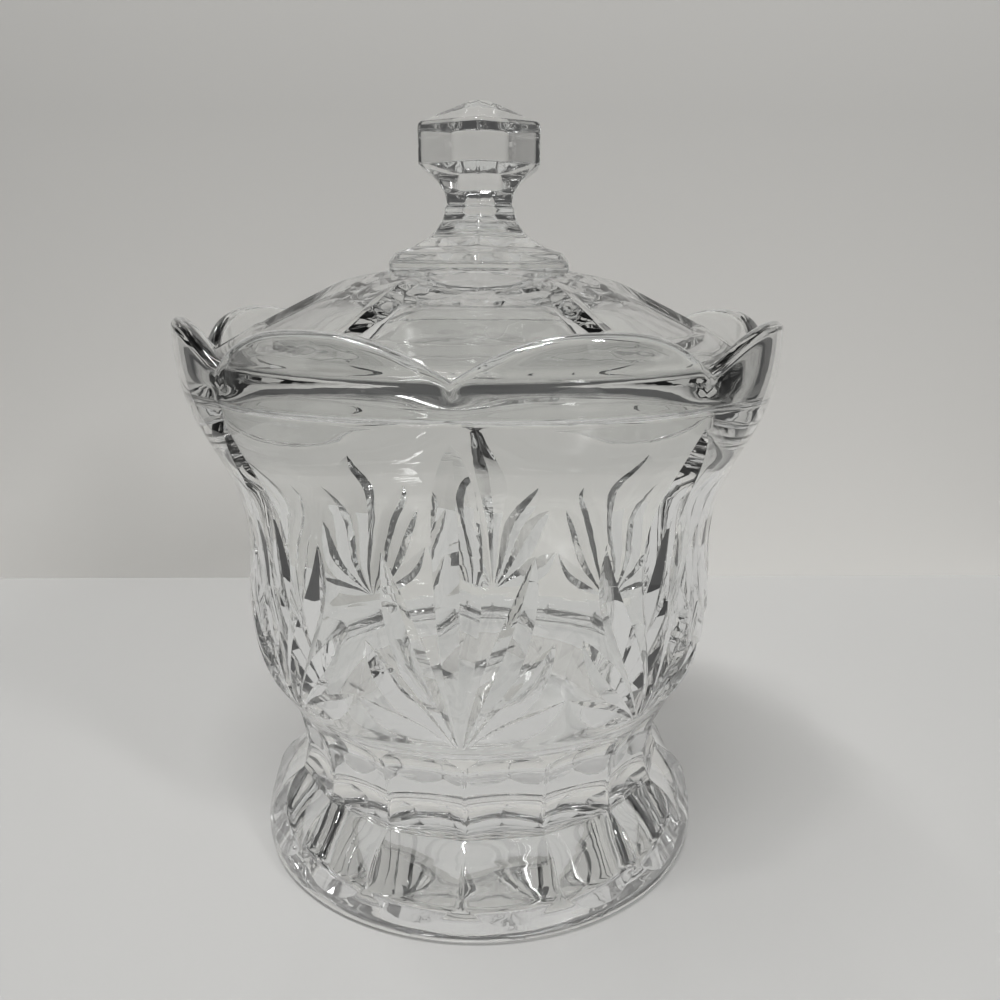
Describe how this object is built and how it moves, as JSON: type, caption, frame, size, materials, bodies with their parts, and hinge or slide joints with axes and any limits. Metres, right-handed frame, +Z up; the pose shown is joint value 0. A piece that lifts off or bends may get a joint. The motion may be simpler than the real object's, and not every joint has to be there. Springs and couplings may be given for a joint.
{
  "type": "biscuit jar",
  "caption": "Footed cut-glass jar with a bulging leaf-cut body, faceted waist and flared petal rim, and a loose fluted dome lid with a six-sided knob.",
  "frame": {"origin": "centre of the foot's resting ring, on the surface the jar stands on", "axes": "+Z up along the jar's axis, -Y towards the front of the jar, +X to its right"},
  "size_m": [0.1718, 0.1718, 0.2183],
  "materials": {
    "jar_glass": "clear colourless pressed and polished glass",
    "lid_glass": "clear colourless pressed and polished glass"
  },
  "bodies": {
    "jar": {"jar": "jar_glass"},
    "lid": {"lid": "lid_glass"}
  },
  "joints": [
    {"name": "lid_lift", "type": "slide", "parent": "jar", "child": "lid", "axis": [0, 0, 1], "range_m": [0, 0.08]}
  ]
}
